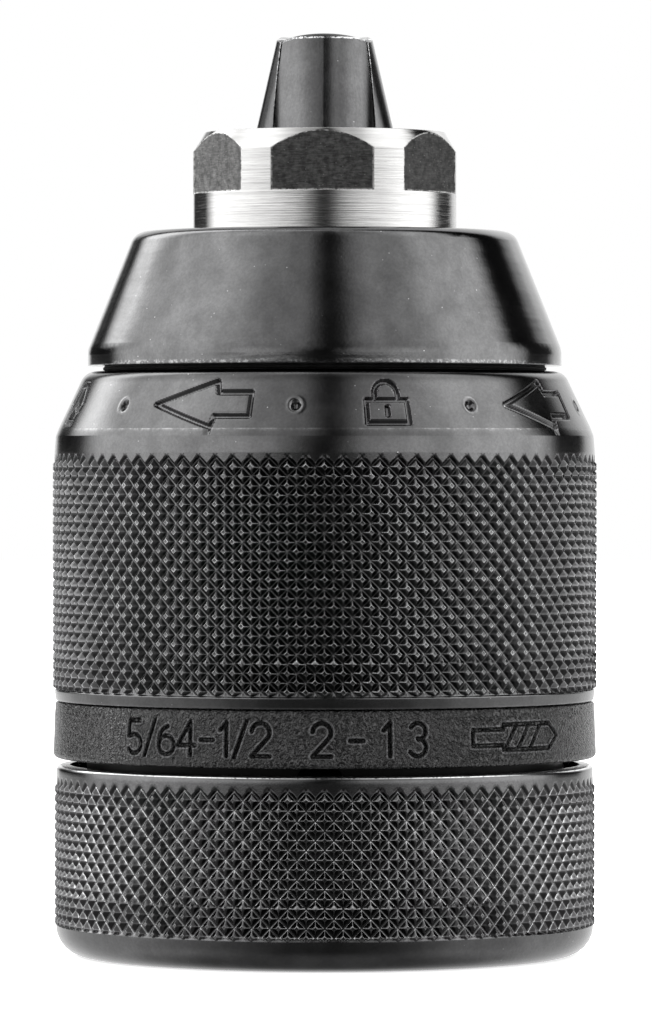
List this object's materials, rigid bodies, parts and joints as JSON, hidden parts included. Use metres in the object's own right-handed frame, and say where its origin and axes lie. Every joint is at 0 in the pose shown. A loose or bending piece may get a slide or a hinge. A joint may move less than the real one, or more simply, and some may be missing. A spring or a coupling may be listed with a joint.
{
  "type": "keyless drill chuck",
  "caption": "Keyless drill chuck with inclined jaws, a knurled front sleeve that tightens and locks them, a moulded size ring, a rear holding sleeve and a threaded spindle socket.",
  "frame": {"origin": "centre of the rear face, on the chuck's axis", "axes": "+Z along the chuck's axis towards the jaws; one jaw faces -Y"},
  "size_m": [0.0425, 0.0424, 0.0717],
  "materials": {
    "blackened_steel": "blackened, glossy with fine bright specks",
    "turned_steel": "bright turned steel",
    "jaw_steel": "hardened, blackened, glossy",
    "hardened_steel": "ground",
    "bearing_steel": "polished",
    "spring_steel": "blued",
    "cage_brass": "satin",
    "moulded_plastic": "finely grained"
  },
  "bodies": {
    "body": {"chuck_body": "turned_steel", "lower_race": "bearing_steel", "ratchet_ring": "hardened_steel", "nose_cap": "blackened_steel", "cap_circlip": "spring_steel", "thrust_washer": "spring_steel", "rear_sleeve": "blackened_steel"},
    "ring": {"threaded_ring": "hardened_steel", "drive_ring": "blackened_steel", "upper_race": "bearing_steel", "pawl_pin": "bearing_steel", "pawl_spring": "spring_steel", "detent_spring": "spring_steel"},
    "sleeve": {"front_sleeve": "blackened_steel", "marking_ring": "moulded_plastic"},
    "pawl": {"locking_pawl": "hardened_steel"},
    "ball_train": {"ball_cage": "cage_brass", "bearing_balls": "bearing_steel"},
    "jaw_1": {"jaw_1": "jaw_steel"},
    "jaw_2": {"jaw_2": "jaw_steel"},
    "jaw_3": {"jaw_3": "jaw_steel"}
  },
  "joints": [
    {"name": "ring_turn", "type": "hinge", "parent": "body", "child": "ring", "pos_m": [0, 0, 0.04], "axis": [0, 0, 1], "range_deg": [0, 4500]},
    {"name": "jaw_1_slide", "type": "slide", "parent": "body", "child": "jaw_1", "axis": [0, -0.2588, -0.9659], "range_m": [0, 0.0225]},
    {"name": "jaw_2_slide", "type": "slide", "parent": "body", "child": "jaw_2", "axis": [0.2241, 0.1294, -0.9659], "range_m": [0, 0.0225]},
    {"name": "jaw_3_slide", "type": "slide", "parent": "body", "child": "jaw_3", "axis": [-0.2241, 0.1294, -0.9659], "range_m": [0, 0.0225]},
    {"name": "ball_spin", "type": "hinge", "parent": "body", "child": "ball_train", "pos_m": [0, 0, 0.03325], "axis": [0, 0, 1], "range_deg": [0, 2250]},
    {"name": "sleeve_lock", "type": "hinge", "parent": "ring", "child": "sleeve", "pos_m": [0, 0, 0.033], "axis": [0, 0, 1], "range_deg": [-20, 0]},
    {"name": "pawl_pivot", "type": "hinge", "parent": "ring", "child": "pawl", "pos_m": [0.00704, 0.01743, 0.0273], "axis": [0, 0, 1], "range_deg": [0, 4.5]}
  ],
  "couplings": [
    {"joint": "jaw_1_slide", "follows": "ring_turn", "m_per_rad": 0.00028648},
    {"joint": "jaw_2_slide", "follows": "ring_turn", "m_per_rad": 0.00028648},
    {"joint": "jaw_3_slide", "follows": "ring_turn", "m_per_rad": 0.00028648},
    {"joint": "ball_spin", "follows": "ring_turn", "ratio": 0.5},
    {"joint": "pawl_pivot", "follows": "sleeve_lock", "ratio": -0.225}
  ]
}
